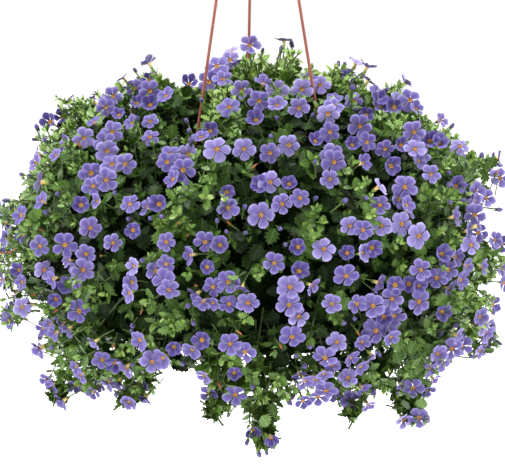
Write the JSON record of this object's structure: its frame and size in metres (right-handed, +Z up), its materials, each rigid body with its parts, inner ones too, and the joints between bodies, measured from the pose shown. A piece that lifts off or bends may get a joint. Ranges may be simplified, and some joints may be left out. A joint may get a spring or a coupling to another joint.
{
  "type": "potted bacopa",
  "caption": "Hanging pot of trailing bacopa: a squat ball of small toothed leaves and lilac-blue flowers under thin rods that meet at a hook.",
  "frame": {"origin": "the point inside the top of the hook's bend that bears on whatever the pot hangs from", "axes": "+Z up along the hanger's axis, -Y towards the side that the picture shows, +X to the right in the picture"},
  "size_m": [0.4401, 0.4306, 0.6207],
  "materials": {
    "terracotta_plastic": "satin moulded polypropylene",
    "compost": "rough, damp bark and peat",
    "leaf_green": "matte leaf with a faint waxy sheen",
    "petal_violet": "matte petal"
  },
  "bodies": {
    "root": {"bloom_spray_cap_1": "petal_violet", "bloom_spray_cap_2": "petal_violet", "bloom_spray_cap_3": "petal_violet", "bloom_spray_middle_1": "petal_violet", "bloom_spray_middle_2": "petal_violet", "bloom_spray_middle_3": "petal_violet", "bloom_spray_middle_4": "petal_violet", "bloom_spray_middle_5": "petal_violet", "bloom_spray_middle_6": "petal_violet", "bloom_spray_middle_7": "petal_violet", "bloom_spray_middle_8": "petal_violet", "bloom_spray_middle_9": "petal_violet", "bloom_spray_skirt_1": "petal_violet", "bloom_spray_skirt_2": "petal_violet", "bloom_spray_skirt_3": "petal_violet", "bloom_spray_skirt_4": "petal_violet", "bloom_spray_skirt_5": "petal_violet", "bloom_spray_skirt_6": "petal_violet", "bloom_spray_skirt_7": "petal_violet", "bloom_spray_skirt_8": "petal_violet", "bloom_spray_skirt_9": "petal_violet", "bloom_spray_upper_1": "petal_violet", "bloom_spray_upper_2": "petal_violet", "bloom_spray_upper_3": "petal_violet", "bloom_spray_upper_4": "petal_violet", "bloom_spray_upper_5": "petal_violet", "bloom_spray_upper_6": "petal_violet", "hanger_arm_1": "terracotta_plastic", "hanger_arm_2": "terracotta_plastic", "hanger_arm_3": "terracotta_plastic", "hanger_hook": "terracotta_plastic", "leafy_stem_cap_1": "leaf_green", "leafy_stem_cap_2": "leaf_green", "leafy_stem_cap_3": "leaf_green", "leafy_stem_middle_1": "leaf_green", "leafy_stem_middle_2": "leaf_green", "leafy_stem_middle_3": "leaf_green", "leafy_stem_middle_4": "leaf_green", "leafy_stem_middle_5": "leaf_green", "leafy_stem_middle_6": "leaf_green", "leafy_stem_middle_7": "leaf_green", "leafy_stem_middle_8": "leaf_green", "leafy_stem_middle_9": "leaf_green", "leafy_stem_skirt_1": "leaf_green", "leafy_stem_skirt_2": "leaf_green", "leafy_stem_skirt_3": "leaf_green", "leafy_stem_skirt_4": "leaf_green", "leafy_stem_skirt_5": "leaf_green", "leafy_stem_skirt_6": "leaf_green", "leafy_stem_skirt_7": "leaf_green", "leafy_stem_skirt_8": "leaf_green", "leafy_stem_skirt_9": "leaf_green", "leafy_stem_upper_1": "leaf_green", "leafy_stem_upper_2": "leaf_green", "leafy_stem_upper_3": "leaf_green", "leafy_stem_upper_4": "leaf_green", "leafy_stem_upper_5": "leaf_green", "leafy_stem_upper_6": "leaf_green", "pot": "terracotta_plastic", "soil": "compost"}
  },
  "joints": []
}
